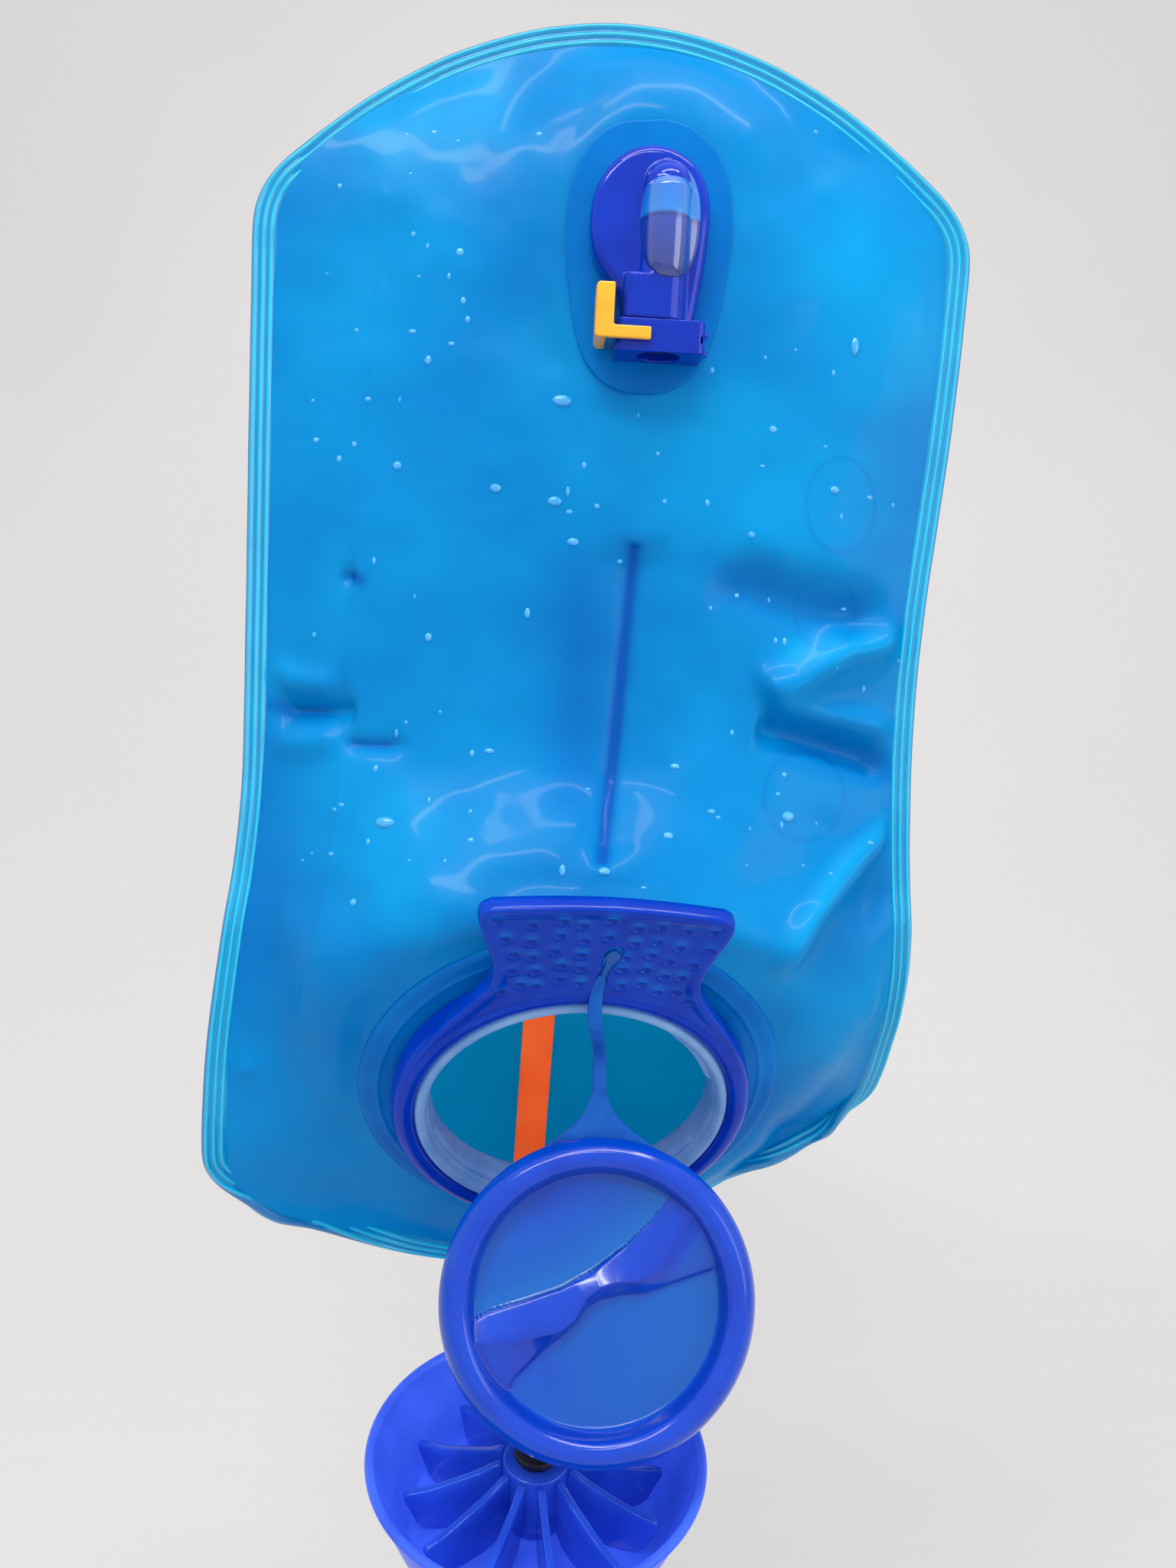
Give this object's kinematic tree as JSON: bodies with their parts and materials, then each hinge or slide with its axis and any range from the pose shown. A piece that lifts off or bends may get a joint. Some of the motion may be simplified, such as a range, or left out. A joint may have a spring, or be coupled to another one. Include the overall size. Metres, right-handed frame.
{
  "type": "hydration bladder",
  "caption": "Flexible hydration bladder with welded films, a wide fill mouth with grip handle and tethered lid, and a quick-release hose outlet.",
  "frame": {"origin": "centre of the fill mouth, on the outer face of the handle ring", "axes": "+X right when facing the front film, +Y from the front film to the back film, +Z from the fill mouth to the closed end with the hose outlet; the bladder is shown mouth end down"},
  "size_m": [0.2318, 0.1322, 0.4615],
  "materials": {
    "film_front": "gloss translucent film",
    "film_back": "gloss translucent film",
    "seam": "gloss",
    "weld": "gloss",
    "moulding_blue": "gloss",
    "lid_blue": "gloss",
    "cap_violet": "gloss translucent",
    "clear_liner": "satin translucent",
    "tether_clear": "satin translucent",
    "orange": "satin",
    "yellow": "satin",
    "window": "high gloss",
    "rubber": "matt",
    "steel": "brushed",
    "valve_white": "satin"
  },
  "bodies": {
    "bag": {"front_film": "film_front", "back_film": "film_back", "edge_seam": "seam", "centre_baffle": "weld", "spreader_strap": "orange", "fill_flange": "weld", "mouth_liner": "clear_liner", "handle_ring": "moulding_blue", "tether_button": "moulding_blue", "exit_flange": "weld", "exit_housing": "moulding_blue", "thumb_window": "window", "exit_collar": "moulding_blue", "socket_oring": "rubber"},
    "tether": {"tether_strap": "tether_clear"},
    "neck": {"tether_ring": "tether_clear", "swivel_fork": "rubber", "link_pin": "steel"},
    "lid": {"lid_body": "lid_blue", "lid_seal": "rubber"},
    "cap": {"cap_link": "rubber", "cap_stud": "rubber", "cap_hub": "cap_violet", "cap_ribs": "cap_violet", "cap_shell": "cap_violet"},
    "button": {"release_button": "yellow", "latch_plate": "steel", "button_spring": "steel"},
    "valve": {"valve_poppet": "valve_white", "valve_oring": "rubber", "valve_spring": "steel"}
  },
  "joints": [
    {"name": "tether_swing", "type": "hinge", "parent": "bag", "child": "tether", "pos_m": [0.00498, -0.0317, 0.05424], "axis": [0.9941, 0.104, -0.0305], "range_deg": [-30, 0]},
    {"name": "lid_flip", "type": "hinge", "parent": "tether", "child": "neck", "pos_m": [0.009, -0.01165, 0.01334], "axis": [1, 0, 0], "range_deg": [-15, 0]},
    {"name": "lid_turn", "type": "hinge", "parent": "neck", "child": "lid", "pos_m": [0.009, -0.03, -0.042], "axis": [0, -0.9659, 0.2588], "range_deg": [0, 90]},
    {"name": "cap_swing", "type": "hinge", "parent": "neck", "child": "cap", "pos_m": [0.009, -0.0159, -0.04578], "axis": [1, 0, 0], "range_deg": [-15, 5]},
    {"name": "button_press", "type": "slide", "parent": "bag", "child": "button", "axis": [1, 0, 0], "range_m": [0, 0.002], "stiffness_N_per_m": 900, "springref_m": -0.001},
    {"name": "valve_lift", "type": "slide", "parent": "bag", "child": "valve", "axis": [0, 0, 1], "range_m": [0, 0.003], "stiffness_N_per_m": 400, "springref_m": -0.003, "deforming": ["valve_spring"]}
  ]
}
